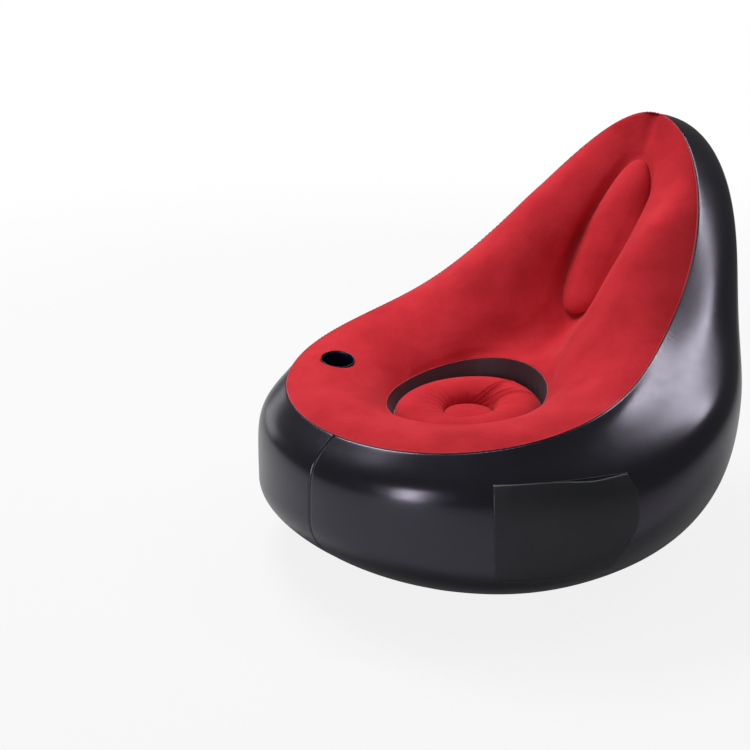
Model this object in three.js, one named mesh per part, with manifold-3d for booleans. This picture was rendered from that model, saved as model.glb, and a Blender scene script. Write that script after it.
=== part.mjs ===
// Inflatable lounge chair, in millimetres. +Z is up, the seat faces -Y and +X is the sitter's left.
// The origin is on the floor, midway between the sides and between the front and the back.
// The chair is cut from sheet: a black wall and base, a flocked top that dips into a bowl, and a round
// seat in a well. Most shapes are functions of the angle from straight back, seen from above.
import * as THREE from 'three';
import { mergeVertices } from 'three/addons/utils/BufferGeometryUtils.js';
import Module from 'manifold-3d';

const wasm = await Module();
wasm.setup();

// Sheet thicknesses and the gap left between welded pieces
const wallGauge = 0.45;
const flockedGauge = 0.8;
const weldGap = 0.3;

// Rim weld, where the flocked top meets the black wall
const rimMeanRadius = 402;
const rimOutlineShares = [1, -0.022, 0.136, 0.06, 0.006, 0.003];
const rimFrontHeight = 329;
const rimTopHeight = 830;
const rimDropRate = 6.7;
const armLift = 105;

// Black wall: how far it swells past the rim, and its height where it starts to lean in below
const wallBulge = 91;
const wallBulgeShares = [1, 0.08, -0.53, -0.3];
const bellyHeight = 230;
const bellyHeightShares = [1, 0.34, -0.09, -0.21];
const baseUndercut = 181;
const rearHeelShare = 0.42;
const rearBulge = 45;
const rearBellyRise = 160;
const rimWallDegrees = [40, -14.5, -16];
const baseWallDegrees = [35, 2.3];
const baseRollShare = 0.385;
const shoulderReachShare = 0.45;
const shoulderLiftShare = 0.74;

// Round well for the seat, forward of the wall's own centre
const wellForward = 88;
const wellRadius = 163;
const wellFrontHeight = 300;
const wellBackHeight = 353;
const wellTaper = 10;
const wellFootBack = 8;

// Flocked top: the angles at which it leaves the rim and reaches the well, and the valley of the back
const rimTopDegrees = 20;
const rimTopBackDegrees = -5;
const valleyRimDegrees = -70;
const valleyHalfDegrees = 24;
const wellLipDegrees = 50;
const wellValleyDegrees = 10;
const wellValleyHalfDegrees = 42;
const rimHandleShare = 0.3;
const lipHandleShare = 0.35;

// Bolsters beside the valley: how far they stand out, and how far from the middle their inner flank is
const bolsterRise = 48;
const bolsterInner = 100;

// Round seat with a tufted middle
const seatHeight = 278;
const seatFrontCrown = 20;
const seatBackCrown = 44;
const buttonRadius = 51;
const buttonCrown = 5;

// Oval cushion in the valley of the back
const cushionLength = 376;
const cushionWidth = 142;
const cushionCrown = 34;
const cushionFromRim = 104;
const cushionGap = 0.9;

// Cup holder in the right arm
const cupRadius = 35;
const cupDepth = 78;
const cupGauge = 1.2;
const cupLip = 2;
const cupTaperShare = 0.86;
const cupFromBackDegrees = -127;
const cupAcrossShare = 0.41;

// Side pocket on the left front of the wall
const pocketTopDegrees = [138, 107];
const pocketFootDegrees = [131, 109];
const pocketMouthDrop = 29;
const pocketDepth = 178;
const pocketGape = 20;
const hemHeight = 13;
const hemGauge = 1.2;

// Push-in air valve on the right side, towards the back
const valveFromBackDegrees = -70;
const flangeRadius = 17;
const flangeGauge = 1.6;
const collarRadius = 11;
const collarGauge = 1.4;
const collarLength = 17;
const stemRadius = 9.2;
const stemGauge = 1.5;
const stemLength = 30;
const stemBead = 1;
const stemBeadRadius = 10.4;
const stemHead = 2;
const stemHeadRadius = 12.5;
const stopperRadius = 7;
const stopperTipRadius = 6.2;
const stopperLength = 5;
const plugHeadRadius = 9;
const plugHeadGauge = 1.6;
const hingeRise = 10.2;
const hingeWidth = 6;
const flapGauge = 0.6;
const fitClearance = 0.3;

// Inner tie bands
const buttonTieSpread = 32;
const buttonTieWidth = 84;
const wellTieHalfDegrees = 22;
const wellTieDegrees = {
  well_tie_rear_left: 45,
  well_tie_front_left: 135,
  well_tie_front_right: 225,
  well_tie_rear_right: 315,
};
const backTieColumn = 4;
const backTieRows = 7;
const backTieTopRow = 2;
const backTieWallRow = 7;

// Powers of the fall-offs: a higher power keeps a swelling closer to its middle
const heelPower = 6;
const rearPower = 16;
const valleyPower = 4;
const wellBackPower = 2;
const bolsterEdgePower = 4;
const bolsterRearPower = 4;
const gapePower = 1.5;

// Mesh steps
const aroundSteps = 56;
const topSteps = 11;
const lowerWallSteps = 5;
const upperWallSteps = 9;
const rearCrowding = 0.35;
const roundSteps = 32;
const seatSteps = 8;
const buttonSteps = 3;
const cushionSteps = 7;
const ringSteps = 2;
const pocketAlongSteps = 10;
const pocketDownSteps = 9;
const hemSteps = 2;
const wellTieSteps = 4;
const backTieSteps = 3;
const valleySteps = 100;
const halvings = 40;
const tinyShare = 1e-4;

const radians = THREE.MathUtils.degToRad;
const upward = new THREE.Vector3(0, 0, 1);

// Cosine series in the angle from straight back
function series(shares, angle) {
  return shares.reduce((sum, share, k) => sum + share * Math.cos(k * angle), 0);
}

// Cubic curve through two ends with two handles
function bezier(a, b, c, d, t) {
  const s = 1 - t;
  return s * s * s * a + 3 * s * s * t * b + 3 * s * t * t * c + t * t * t * d;
}

// 1 in the middle of the back and 0 past the half width, with a flat middle
function valley(angle, halfDegrees) {
  const turned = Math.atan2(Math.sin(angle), Math.cos(angle));
  return Math.exp(-((turned / radians(halfDegrees)) ** valleyPower));
}

function rimRadius(angle) {
  return rimMeanRadius * series(rimOutlineShares, angle);
}

// The rim stands tall only at the back and runs down both arms to the front
function rimHeight(angle) {
  const forward = Math.sin(angle / 2) ** 2;
  const drop = (1 - forward) / (1 + rimDropRate * forward);
  return rimFrontHeight + (rimTopHeight - rimFrontHeight) * drop + armLift * forward * (1 - forward);
}

// 1 straight behind, falling away to 0 in front
function rear(angle, power) {
  return ((1 + Math.cos(angle)) / 2) ** power;
}

// The foot of the wall is tucked in under the belly, less so behind, where the heel carries the back
function baseRadius(angle) {
  const bulge = wallBulge * series(wallBulgeShares, angle);
  return rimRadius(angle) + bulge - baseUndercut * (1 - rearHeelShare * rear(angle, heelPower));
}

// Wall section: s from 0 to 1 rolls up from the base to the belly, and from 1 to 2 on to the rim
function wallSection(angle, s) {
  const rim = rimRadius(angle);
  const top = rimHeight(angle);
  const swell = rear(angle, rearPower);
  const belly = rim + wallBulge * series(wallBulgeShares, angle) + rearBulge * swell;
  const middle = bellyHeight * series(bellyHeightShares, angle) + rearBellyRise * swell;
  const base = baseRadius(angle);
  if (s <= 1) {
    const slope = radians(series(baseWallDegrees, angle));
    const roll = baseRollShare * Math.hypot(belly - base, middle);
    return {
      r: bezier(base, base + roll * Math.cos(slope), belly, belly, s),
      z: bezier(0, roll * Math.sin(slope), middle / 2, middle, s),
    };
  }
  const slope = radians(series(rimWallDegrees, angle));
  const reach = shoulderReachShare * Math.hypot(belly - rim, top - middle);
  const t = s - 1;
  return {
    r: bezier(belly, belly, rim + reach * Math.cos(slope), rim, t),
    z: bezier(middle, middle + shoulderLiftShare * (top - middle), top - reach * Math.sin(slope), top, t),
  };
}

// Farthest reach of the wall at one angle
function wallReach(angle) {
  let reach = 0;
  for (let row = 0; row <= upperWallSteps; row += 1) {
    reach = Math.max(reach, wallSection(angle, 1 + row / upperWallSteps).r);
  }
  return reach;
}

const axisY = (wallReach(Math.PI) - wallReach(0)) / 2;
const wellY = axisY - wellForward;
const seatY = wellY + wellFootBack;

function polar(radius, angle, z, centreY) {
  return new THREE.Vector3(radius * Math.sin(angle), centreY + radius * Math.cos(angle), z);
}

function wallPoint(angle, s) {
  const { r, z } = wallSection(angle, s);
  return polar(r, angle, z, axisY);
}

function wellEdge(angle) {
  const rise = (wellBackHeight - wellFrontHeight) * rear(angle, wellBackPower);
  return polar(wellRadius, angle, wellFrontHeight + rise, wellY);
}

// Flocked top from the rim (t = 0) to the edge of the well (t = 1), lifted square to its chord by the
// bolsters on both sides of the valley
function topPoint(angle, t) {
  const rim = polar(rimRadius(angle), angle, rimHeight(angle), axisY);
  const lip = wellEdge(angle);
  const inward = new THREE.Vector3(lip.x - rim.x, lip.y - rim.y, 0).normalize();
  const span = rim.distanceTo(lip);
  const turnBack = (rimTopBackDegrees - rimTopDegrees) * rear(angle, 1);
  const leave = radians(rimTopDegrees + turnBack + valleyRimDegrees * valley(angle, valleyHalfDegrees));
  const wide = valley(angle, wellValleyHalfDegrees);
  const arrive = radians(wellLipDegrees + (wellValleyDegrees - wellLipDegrees) * wide);
  const a = rim.clone().addScaledVector(inward, rimHandleShare * span * Math.cos(leave))
    .addScaledVector(upward, rimHandleShare * span * Math.sin(leave));
  const b = lip.clone().addScaledVector(inward, -lipHandleShare * span * Math.cos(arrive))
    .addScaledVector(upward, lipHandleShare * span * Math.sin(arrive));
  const point = new THREE.Vector3(
    bezier(rim.x, a.x, b.x, lip.x, t), bezier(rim.y, a.y, b.y, lip.y, t), bezier(rim.z, a.z, b.z, lip.z, t),
  );
  const chord = lip.clone().sub(rim).normalize();
  const square = upward.clone().addScaledVector(chord, -chord.z).normalize();
  const beside = 1 - Math.exp(-((Math.abs(point.x) / bolsterInner) ** bolsterEdgePower));
  return point.addScaledVector(
    square, bolsterRise * beside * rear(angle, bolsterRearPower) * Math.sin(Math.PI * t),
  );
}

// Unit normal of a surface by central differences; turn picks the side
function normalOf(surface, u, v, turn) {
  const du = surface(u + tinyShare, v).sub(surface(u - tinyShare, v));
  const dv = surface(u, v + tinyShare).sub(surface(u, v - tinyShare));
  return du.cross(dv).normalize().multiplyScalar(turn);
}

function topNormal(angle, t) {
  return normalOf(topPoint, angle, t, -1);
}

// Angles of the mesh columns, closer together round the back
function columnAngle(column) {
  const turn = (2 * Math.PI * column) / aroundSteps;
  return turn - rearCrowding * Math.sin(turn);
}

// Closed solid from vertices and triangles, turned inside out if its volume comes out negative
function solid(vertices, triangles) {
  let volume = 0;
  for (const [a, b, c] of triangles) {
    volume += vertices[a].dot(vertices[b].clone().cross(vertices[c]));
  }
  const index = triangles.flatMap(([a, b, c]) => (volume < 0 ? [a, c, b] : [a, b, c]));
  const positions = new Float32Array(vertices.flatMap((v) => v.toArray()));
  const geometry = new THREE.BufferGeometry();
  geometry.setAttribute('position', new THREE.BufferAttribute(positions, 3));
  geometry.setIndex(index);
  geometry.computeVertexNormals();
  return geometry;
}

// Sheet solid from two grids of points, front and back, joined round their open edges. Both faces of a
// quad are split along the same diagonal, so that the sheet keeps its thickness.
function sheet(front, back, wraps) {
  const columns = front.length;
  const rows = front[0].length;
  const vertices = [...front.flat(), ...back.flat()];
  const half = columns * rows;
  const at = (column, row) => (column % columns) * rows + row;
  const corners = (i, j) => [at(i, j), at(i + 1, j), at(i + 1, j + 1), at(i, j + 1)];
  const triangles = [];
  const quad = (a, b, c, d) => triangles.push([a, b, c], [a, c, d]);
  const lastColumn = wraps ? columns : columns - 1;
  for (let column = 0; column < lastColumn; column += 1) {
    for (let row = 0; row < rows - 1; row += 1) {
      const [a, b, c, d] = corners(column, row);
      quad(a, b, c, d);
      quad(c + half, b + half, a + half, d + half);
    }
    for (const [row, flip] of [[0, false], [rows - 1, true]]) {
      const a = at(column, row);
      const b = at(column + 1, row);
      if (flip) quad(a + half, a, b, b + half);
      else quad(a, a + half, b + half, b);
    }
  }
  if (!wraps) {
    for (const [column, flip] of [[0, false], [columns - 1, true]]) {
      for (let row = 0; row < rows - 1; row += 1) {
        const a = at(column, row);
        const b = at(column, row + 1);
        if (flip) quad(a, a + half, b + half, b);
        else quad(a + half, a, b, b + half);
      }
    }
  }
  return solid(vertices, triangles);
}

// Sheet solid of a surface: each grid point, and the same point moved in against the normal
function surfaceSheet(surface, turn, us, vs, gauge, wraps) {
  const front = us.map((u) => vs.map((v) => surface(u, v)));
  const back = us.map((u, i) => vs.map((v, j) => (
    front[i][j].clone().addScaledVector(normalOf(surface, u, v, turn), -gauge))));
  return sheet(front, back, wraps);
}

// Round or oval sheet: rings of points about a middle point, in front and behind
function domeSheet(surface, middle, middleNormal, turn, rings, gauge, smooth = surface) {
  const turns = steps(roundSteps).slice(0, -1).map((share) => 2 * Math.PI * share);
  const front = turns.map((angle) => rings.map((ring) => surface(angle, ring)));
  const back = turns.map((angle, i) => rings.map((ring, j) => (
    front[i][j].clone().addScaledVector(normalOf(smooth, angle, ring, turn), -gauge))));
  const rows = rings.length;
  const half = turns.length * rows;
  const at = (column, row) => (column % turns.length) * rows + row;
  const corners = (i, j) => [at(i, j), at(i + 1, j), at(i + 1, j + 1), at(i, j + 1)];
  const middleBack = middle.clone().addScaledVector(middleNormal, -gauge);
  const vertices = [...front.flat(), ...back.flat(), middle, middleBack];
  const triangles = [];
  const quad = (a, b, c, d) => triangles.push([a, b, c], [a, c, d]);
  for (let column = 0; column < turns.length; column += 1) {
    triangles.push([2 * half, at(column + 1, 0), at(column, 0)]);
    triangles.push([2 * half + 1, at(column, 0) + half, at(column + 1, 0) + half]);
    for (let row = 0; row < rows - 1; row += 1) {
      const [a, b, c, d] = corners(column, row);
      quad(a, b, c, d);
      quad(c + half, b + half, a + half, d + half);
    }
    const a = at(column, rows - 1);
    const b = at(column + 1, rows - 1);
    quad(a + half, a, b, b + half);
  }
  return solid(vertices, triangles);
}

// Even shares from 0 to 1
function steps(count) {
  return Array.from({ length: count + 1 }, (unused, i) => i / count);
}

// Solid for joining and cutting
function manifold(geometry, matrix) {
  const copy = geometry.clone();
  if (matrix) copy.applyMatrix4(matrix);
  copy.deleteAttribute('normal');
  copy.deleteAttribute('uv');
  const merged = mergeVertices(copy, weldGap * tinyShare);
  return new wasm.Manifold(new wasm.Mesh({
    numProp: 3,
    vertProperties: merged.attributes.position.array,
    triVerts: Uint32Array.from(merged.index.array),
  }));
}

function cut(geometry, tool) {
  return geometryOf(manifold(geometry).subtract(tool));
}

function geometryOf(shape) {
  const mesh = shape.getMesh();
  const result = new THREE.BufferGeometry();
  result.setAttribute('position', new THREE.BufferAttribute(mesh.vertProperties, 3));
  result.setIndex(new THREE.BufferAttribute(mesh.triVerts, 1));
  result.computeVertexNormals();
  return result;
}

// Turns a shape built along +Y so that +Y points along an axis, then carries it to a place
function placement(place, axis) {
  const turn = new THREE.Quaternion().setFromUnitVectors(new THREE.Vector3(0, 1, 0), axis);
  return new THREE.Matrix4().compose(place, turn, new THREE.Vector3(1, 1, 1));
}

// Turned shape from an outline of radius and height, which runs from axis to axis or closes on itself
function turned(outline) {
  const closed = outline[0][0] > 0 ? [...outline, outline[0]] : outline;
  return new THREE.LatheGeometry(closed.map(([r, h]) => new THREE.Vector2(r, h)), roundSteps);
}

function union(a, b) {
  return geometryOf(manifold(a).add(manifold(b)));
}

// Materials
function flocked(color) {
  return new THREE.MeshStandardMaterial({ color, roughness: 0.95, metalness: 0 });
}

function film(color, roughness) {
  return new THREE.MeshStandardMaterial({ color, roughness, metalness: 0 });
}

const redFlock = flocked(0xc4283a);
const blackFilm = film(0x1d1e23, 0.35);
const greyFlock = flocked(0x2c2a30);
const matteFilm = film(0x24262a, 0.6);
const navyPlastic = film(0x0d1530, 0.4);
const clearFilm = film(0xb9bcc0, 0.5);
const blackPlastic = film(0x15161a, 0.3);

const chair = new THREE.Group();

function add(name, geometry, material) {
  const mesh = new THREE.Mesh(geometry, material);
  mesh.name = name;
  chair.add(mesh);
  return mesh;
}

function place(mesh, position, axis) {
  placement(position, axis).decompose(mesh.position, mesh.quaternion, mesh.scale);
}

// Flat base, inside the foot of the wall
function baseSheet() {
  const inset = wallGauge + weldGap;
  const outline = Array.from({ length: aroundSteps }, (unused, column) => {
    const angle = columnAngle(column);
    return polar(baseRadius(angle) - inset, angle, 0, axisY);
  });
  const shape = new THREE.Shape(outline.map((p) => new THREE.Vector2(p.x, p.y)));
  return new THREE.ExtrudeGeometry(shape, { depth: wallGauge, bevelEnabled: false });
}

// One half of the wall, from the front weld to the back weld; side is 1 on the sitter's left
function wallHalf(side) {
  const inset = weldGap / 2 / baseRadius(0);
  const halfSteps = aroundSteps / 2;
  const angles = Array.from({ length: halfSteps + 1 }, (unused, column) => (
    side * THREE.MathUtils.clamp(columnAngle(halfSteps - column), inset, Math.PI - inset)));
  return surfaceSheet(wallPoint, -1, angles, wallRows(), wallGauge, false);
}

function wallRows() {
  const lower = steps(lowerWallSteps);
  const upper = steps(upperWallSteps).slice(1).map((share) => 1 + share);
  return [...lower, ...upper];
}

// Shares of the way from rim to well at which the top has its rows, with the weld's setback at both ends
function topRows(angle) {
  const span = topPoint(angle, 0).distanceTo(topPoint(angle, 1));
  const setback = (wallGauge + weldGap) / span;
  return steps(topSteps).map((share) => setback + (1 - 2 * setback) * share);
}

function topColumn(column) {
  const angle = columnAngle(column);
  return topRows(angle).map((t) => topPoint(angle, t));
}

// One half of the top, from the middle of the back to the front; side is 1 on the sitter's left
function topHalf(side) {
  const halfSteps = aroundSteps / 2;
  const columns = Array.from({ length: halfSteps + 1 }, (unused, column) => side * column);
  const front = columns.map((column) => topColumn(column));
  for (const edge of [front[0], front[halfSteps]]) {
    for (const point of edge) point.x = side * (weldGap / 2);
  }
  const back = columns.map((column, i) => topRows(columnAngle(column)).map((t, row) => (
    front[i][row].clone().addScaledVector(topNormal(columnAngle(column), t), -flockedGauge))));
  return sheet(front, back, false);
}

// Dark ring between the lip of the well and the edge of the seat
function wellWallPoint(angle, share) {
  const lip = wellEdge(angle);
  const drop = flockedGauge + weldGap;
  const foot = seatHeight - weldGap;
  const z = lip.z - drop + (foot - lip.z + drop) * share;
  return polar(wellRadius - wellTaper * share, angle, z, wellY + wellFootBack * share);
}

// The seat clears the flats of the ring round it
const widestHalfStep = (Math.PI / aroundSteps) * (1 + rearCrowding);
const seatRadius = (wellRadius - wellTaper) * Math.cos(widestHalfStep) - weldGap;

// Seat: a half ellipse swept round between the button and the edge of the seat
function seatPoint(angle, sweep) {
  const half = (seatRadius - buttonRadius) / 2;
  const r = buttonRadius + half - half * Math.cos(Math.PI * sweep);
  const crown = seatFrontCrown + (seatBackCrown - seatFrontCrown) * rear(angle, 1);
  return polar(r, angle, seatHeight + crown * Math.sin(Math.PI * sweep), seatY);
}

function seatCushion() {
  const middle = new THREE.Vector3(0, seatY, seatHeight);
  return domeSheet(seatPoint, middle, upward, 1, steps(seatSteps), flockedGauge);
}

// Button: a low dome over the dimple of the seat
function buttonPoint(angle, sweep) {
  const r = (buttonRadius - flockedGauge) * Math.sin((Math.PI / 2) * sweep);
  return polar(r, angle, seatHeight + weldGap + buttonCrown * Math.cos((Math.PI / 2) * sweep), seatY);
}

function seatButton() {
  const middle = new THREE.Vector3(0, seatY, seatHeight + weldGap + buttonCrown);
  return domeSheet(buttonPoint, middle, upward, 1, steps(buttonSteps).slice(1), flockedGauge);
}

// Angle whose column of the top passes at a place across the back and a share of the way to the well
function onTop(x, t) {
  let low = 0;
  let high = Math.PI / 2;
  for (let i = 0; i < halvings; i += 1) {
    const middle = (low + high) / 2;
    if (topPoint(middle, t).x < Math.abs(x)) low = middle;
    else high = middle;
  }
  return Math.sign(x) * low;
}

// Running length down the middle of the back, from the rim to the well
const valleyShares = steps(valleySteps);
const valleyRun = [0];
for (const share of valleyShares.slice(1)) {
  const step = topPoint(0, share - 1 / valleySteps).distanceTo(topPoint(0, share));
  valleyRun.push(valleyRun[valleyRun.length - 1] + step);
}

// Share of the way from rim to well at a distance down the middle of the back
function shareDown(distance) {
  let i = 0;
  while (i < valleySteps - 1 && valleyRun[i + 1] < distance) i += 1;
  return (i + (distance - valleyRun[i]) / (valleyRun[i + 1] - valleyRun[i])) / valleySteps;
}

// Point on the facets of the top at an angle and a share of the way to the well
function facetPoint(angle, t) {
  let column = 0;
  while (columnAngle(column + 1) < Math.abs(angle)) column += 1;
  const across = (Math.abs(angle) - columnAngle(column)) / (columnAngle(column + 1) - columnAngle(column));
  const rows = topRows(angle);
  let row = 0;
  while (rows[row + 1] < t) row += 1;
  const down = (t - rows[row]) / (rows[row + 1] - rows[row]);
  const [near, far] = [topColumn(column), topColumn(column + 1)];
  const [a, b, c, d] = [near[row], far[row], far[row + 1], near[row + 1]];
  const first = across >= down;
  const point = a.clone().addScaledVector(first ? b.clone().sub(a) : c.clone().sub(d), across)
    .addScaledVector(first ? c.clone().sub(b) : d.clone().sub(a), down);
  if (angle < 0) point.x = -point.x;
  return point;
}

// Oval cushion: its edge lies on the valley of the back and its middle swells towards the sitter
function backCushionOn(base, angle, sweep) {
  const out = Math.sin((Math.PI / 2) * sweep);
  const down = cushionFromRim + (cushionLength / 2) * (1 - out * Math.cos(angle));
  const t = shareDown(down);
  const turn = onTop((cushionWidth / 2) * out * Math.sin(angle), t);
  const rise = cushionGap + cushionCrown * Math.cos((Math.PI / 2) * sweep);
  return base(turn, t).addScaledVector(topNormal(turn, t), rise);
}

function backCushion() {
  const seated = (angle, sweep) => backCushionOn(facetPoint, angle, sweep);
  const smooth = (angle, sweep) => backCushionOn(topPoint, angle, sweep);
  const normal = topNormal(0, shareDown(cushionFromRim + cushionLength / 2));
  return domeSheet(seated, seated(0, 0), normal, 1, steps(cushionSteps).slice(1), flockedGauge, smooth);
}

// Height at which the wall is met at an angle, as its section parameter
function sectionAt(angle, height) {
  let low = 0;
  let high = 2;
  for (let i = 0; i < halvings; i += 1) {
    const middle = (low + high) / 2;
    if (wallSection(angle, middle).z < height) low = middle;
    else high = middle;
  }
  return low;
}

function wallNormal(angle, s) {
  return normalOf(wallPoint, angle, s, -1);
}

// The mouth of the pocket lies a set way below the front of the rim
const pocketTop = rimFrontHeight - pocketMouthDrop;
const pocketFoot = pocketTop - pocketDepth;

// Pocket panel: u runs back along the side and v down from the mouth; it stands off most at the mouth
function pocketPoint(u, v) {
  const start = THREE.MathUtils.lerp(pocketTopDegrees[0], pocketFootDegrees[0], v);
  const end = THREE.MathUtils.lerp(pocketTopDegrees[1], pocketFootDegrees[1], v);
  const angle = radians(THREE.MathUtils.lerp(start, end, u));
  const s = sectionAt(angle, THREE.MathUtils.lerp(pocketTop, pocketFoot, v));
  const along = Math.sin(Math.PI * THREE.MathUtils.clamp(u, 0, 1));
  const gape = pocketGape * along * Math.max(0, 1 - v) ** gapePower;
  const standOff = 2 * weldGap + wallGauge + gape;
  return wallPoint(angle, s).addScaledVector(wallNormal(angle, s), standOff);
}

function pocketPanel() {
  return surfaceSheet(pocketPoint, -1, steps(pocketAlongSteps), steps(pocketDownSteps), wallGauge, false);
}

// Binding along the mouth of the pocket, laid on the panel's own outer face
function pocketHem() {
  const drop = hemHeight / pocketDepth;
  const face = (offset) => steps(pocketAlongSteps).map((u) => steps(hemSteps).map((share) => {
    const out = normalOf(pocketPoint, u, drop * share, -1);
    return pocketPoint(u, drop * share).addScaledVector(out, offset);
  }));
  return sheet(face(weldGap + hemGauge), face(weldGap), false);
}

// Cup holder: a cup let into the right arm, square to the top there
const cupAngle = radians(cupFromBackDegrees);
const cupPlace = topPoint(cupAngle, cupAcrossShare);
const cupAxis = topNormal(cupAngle, cupAcrossShare);

function cupHolder() {
  const foot = cupRadius * cupTaperShare;
  return turned([
    [0, -cupDepth], [foot, -cupDepth], [cupRadius, 0], [cupRadius, cupLip],
    [cupRadius - cupGauge, cupLip], [foot - cupGauge, cupGauge - cupDepth], [0, cupGauge - cupDepth],
  ]);
}

// Hole cutter: a round bar that runs through the sheet
function borer(radius, length, place, axis) {
  return manifold(new THREE.CylinderGeometry(radius, radius, length, roundSteps), placement(place, axis));
}

// The valve stands where the wall is upright; its parts are turned about +Y, which points out of the wall
const valveAngle = radians(valveFromBackDegrees);
const valvePlace = wallPoint(valveAngle, 1);
const valveAxis = polar(1, valveAngle, 0, 0);
const flangeFace = weldGap + flangeGauge;
const stemFoot = flangeFace + fitClearance;
const stemFace = stemFoot + stemHead;
const plugFoot = stemFace + fitClearance;
const plugFace = plugFoot + plugHeadGauge;
const stemBore = stemRadius - stemGauge;

function valveFlange() {
  const bore = collarRadius - collarGauge;
  return turned([
    [bore, -collarLength], [collarRadius, -collarLength], [collarRadius, weldGap],
    [flangeRadius, weldGap], [flangeRadius, flangeFace], [bore, flangeFace],
  ]);
}

// Block on the upper edge of a round head, where a strap bends; up is +Z here
function hingeBlock(low, high, foot, face) {
  const block = new THREE.BoxGeometry(hingeWidth, face - foot, high - low);
  block.translate(0, (face + foot) / 2, (high + low) / 2);
  return block;
}

function valveStem() {
  const tube = turned([
    [stemBore, -stemLength], [stemBeadRadius, -stemLength], [stemBeadRadius, stemBead - stemLength],
    [stemRadius, stemBead - stemLength], [stemRadius, stemFoot], [stemHeadRadius, stemFoot],
    [stemHeadRadius, stemFace], [stemBore, stemFace],
  ]);
  const block = hingeBlock(hingeRise + fitClearance, stemHeadRadius, stemFoot + stemHead / 2, plugFace);
  return union(tube, block);
}

function valvePlug() {
  const head = turned([
    [0, plugFoot - stopperLength], [stopperTipRadius, plugFoot - stopperLength], [stopperRadius, plugFoot],
    [plugHeadRadius, plugFoot], [plugHeadRadius, plugFace], [0, plugFace],
  ]);
  return union(head, hingeBlock(plugHeadRadius / 2, hingeRise, plugFoot, plugFace));
}

function valveFlap() {
  const seat = -stemLength - fitClearance;
  const back = seat - flapGauge;
  return turned([[0, back], [stemBeadRadius, back], [stemBeadRadius, seat], [0, seat]]);
}

// Flat upright band from the base to the underside of the button
function buttonTie(forward) {
  const foot = wallGauge + weldGap;
  const head = seatHeight - flockedGauge - weldGap;
  const band = new THREE.BoxGeometry(buttonTieWidth, wallGauge, head - foot);
  band.translate(0, seatY + forward, (head + foot) / 2);
  return band;
}

// Curved upright band from the base to the foot of the well's ring
function wellTie(middleDegrees) {
  const foot = wallGauge + weldGap;
  const head = seatHeight - 2 * weldGap;
  const surface = (angle, share) => (
    polar(wellRadius - wellTaper, angle, foot + (head - foot) * share, seatY));
  const angles = steps(wellTieSteps).map((share) => (
    radians(middleDegrees + wellTieHalfDegrees * (2 * share - 1))));
  return surfaceSheet(surface, 1, angles, steps(1), wallGauge, false);
}

// Band from the valley of the back to the rear wall, along one column of each; side is 1 on the left
function backTie(side) {
  const angle = side * columnAngle(backTieColumn);
  const shares = topRows(angle).slice(backTieTopRow, backTieTopRow + backTieRows);
  const sections = wallRows().slice(backTieWallRow, backTieWallRow + backTieRows).reverse();
  const across = new THREE.Vector3(Math.cos(angle), -Math.sin(angle), 0).multiplyScalar(wallGauge / 2);
  const face = (turn) => steps(backTieSteps).map((share) => shares.map((t, row) => {
    const near = topPoint(angle, t).addScaledVector(topNormal(angle, t), -flockedGauge - 2 * weldGap);
    const far = wallPoint(angle, sections[row])
      .addScaledVector(wallNormal(angle, sections[row]), -wallGauge - 2 * weldGap);
    return near.lerp(far, share).addScaledVector(across, turn);
  }));
  return sheet(face(1), face(-1), false);
}

const ringAngles = Array.from({ length: aroundSteps }, (unused, column) => columnAngle(column));
const ringSheet = surfaceSheet(wellWallPoint, -1, ringAngles, steps(ringSteps), wallGauge, true);
const cupHole = borer(cupRadius + fitClearance, cupDepth, cupPlace, cupAxis);
const valveHole = borer(collarRadius + fitClearance, collarLength, valvePlace, valveAxis);

add('base_sheet', baseSheet(), blackFilm);
add('wall_left', wallHalf(1), blackFilm);
add('wall_right', cut(wallHalf(-1), valveHole), blackFilm);
add('top_left', topHalf(1), redFlock);
add('top_right', cut(topHalf(-1), cupHole), redFlock);
add('well_wall', ringSheet, greyFlock);
add('seat_cushion', seatCushion(), redFlock);
add('seat_button', seatButton(), redFlock);
add('back_cushion', backCushion(), redFlock);
place(add('cup_holder', cupHolder(), navyPlastic), cupPlace, cupAxis);
add('pocket_panel', pocketPanel(), matteFilm);
add('pocket_hem', pocketHem(), matteFilm);
add('button_tie_rear', buttonTie(buttonTieSpread), clearFilm);
add('button_tie_front', buttonTie(-buttonTieSpread), clearFilm);
for (const [name, degrees] of Object.entries(wellTieDegrees)) {
  add(name, wellTie(degrees), clearFilm);
}
add('back_tie_left', backTie(1), clearFilm);
add('back_tie_right', backTie(-1), clearFilm);
const valveParts = {
  valve_flange: valveFlange(),
  valve_stem: valveStem(),
  valve_plug: valvePlug(),
  valve_flap: valveFlap(),
};
for (const [name, geometry] of Object.entries(valveParts)) {
  place(add(name, geometry, blackPlastic), valvePlace, valveAxis);
}

export default chair;
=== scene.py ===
# %% [markdown]
# # An inflatable lounge chair
# The chair is a bag of air. A black vinyl wall runs round it in two halves, a red flocked sheet closes
# the top and dips into a bowl, and a round tufted seat sits in a well at the bottom of the bowl.
# The CAD model gives the places and the moving valve. This script lays the fine skins over it.
# Every skin is a formula of two numbers: the angle from straight back, seen from above, and how far
# along the skin a point lies. The same driving sizes as in the CAD source shape them, in metres.

# %% Load the frame
import math

import bpy
import numpy as np
from mathutils import Matrix, Vector


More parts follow.
